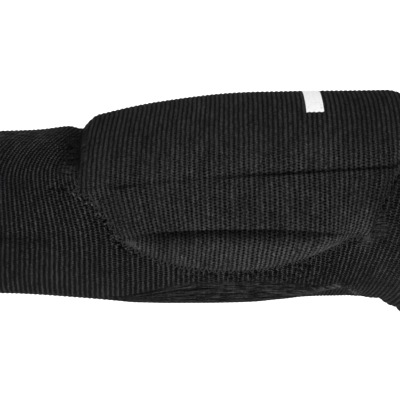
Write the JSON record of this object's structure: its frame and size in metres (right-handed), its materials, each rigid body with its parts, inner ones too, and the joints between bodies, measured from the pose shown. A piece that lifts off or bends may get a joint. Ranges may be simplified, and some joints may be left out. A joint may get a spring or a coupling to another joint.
{
  "type": "padded elbow sleeve",
  "caption": "Stretch-knit elbow sleeve with elastic cuffs and a foam pad divided by folds under a knitted cover, shaped as worn on a bent arm.",
  "frame": {"origin": "centre of the wearer's elbow, on the axis of the arm, where the sleeve bends", "axes": "+X from the forearm cuff along the forearm to the elbow, +Z out through the middle of the pad, +Y to the left-hand side seen from the forearm cuff"},
  "size_m": [0.2958, 0.1042, 0.1353],
  "materials": {
    "sleeve_knit": "black ribbed stretch knit",
    "cover_knit": "black ribbed stretch knit over the pad",
    "cuff_knit": "black folded knit hem",
    "elastic": "covered elastic band",
    "thread": "black sewing thread",
    "backing_cloth": "plain grey cloth",
    "foam": "dark grey closed-cell foam",
    "print_film": "white heat-pressed film"
  },
  "bodies": {
    "forearm": {"forearm_sleeve": "sleeve_knit", "elbow_sleeve": "sleeve_knit", "forearm_cuff": "cuff_knit", "forearm_cuff_elastic": "elastic", "forearm_hem_thread": "thread", "pad_seam_thread": "thread", "pad_cover": "cover_knit", "pad_backing": "backing_cloth", "center_foam_block": "foam", "right_side_foam_block": "foam", "left_side_foam_block": "foam", "right_wing_foam_block": "foam", "left_wing_foam_block": "foam", "print_bar": "print_film"},
    "upper_arm": {"upper_arm_sleeve": "sleeve_knit", "upper_arm_cuff": "cuff_knit", "upper_arm_cuff_elastic": "elastic", "upper_arm_hem_thread": "thread"}
  },
  "joints": [
    {"name": "elbow_flex", "type": "hinge", "parent": "forearm", "child": "upper_arm", "pos_m": [0, 0, 0], "axis": [0, 1, 0], "range_deg": [-35, 60], "stiffness_Nm_per_rad": 0.6, "deforming": ["elbow_sleeve"]}
  ]
}
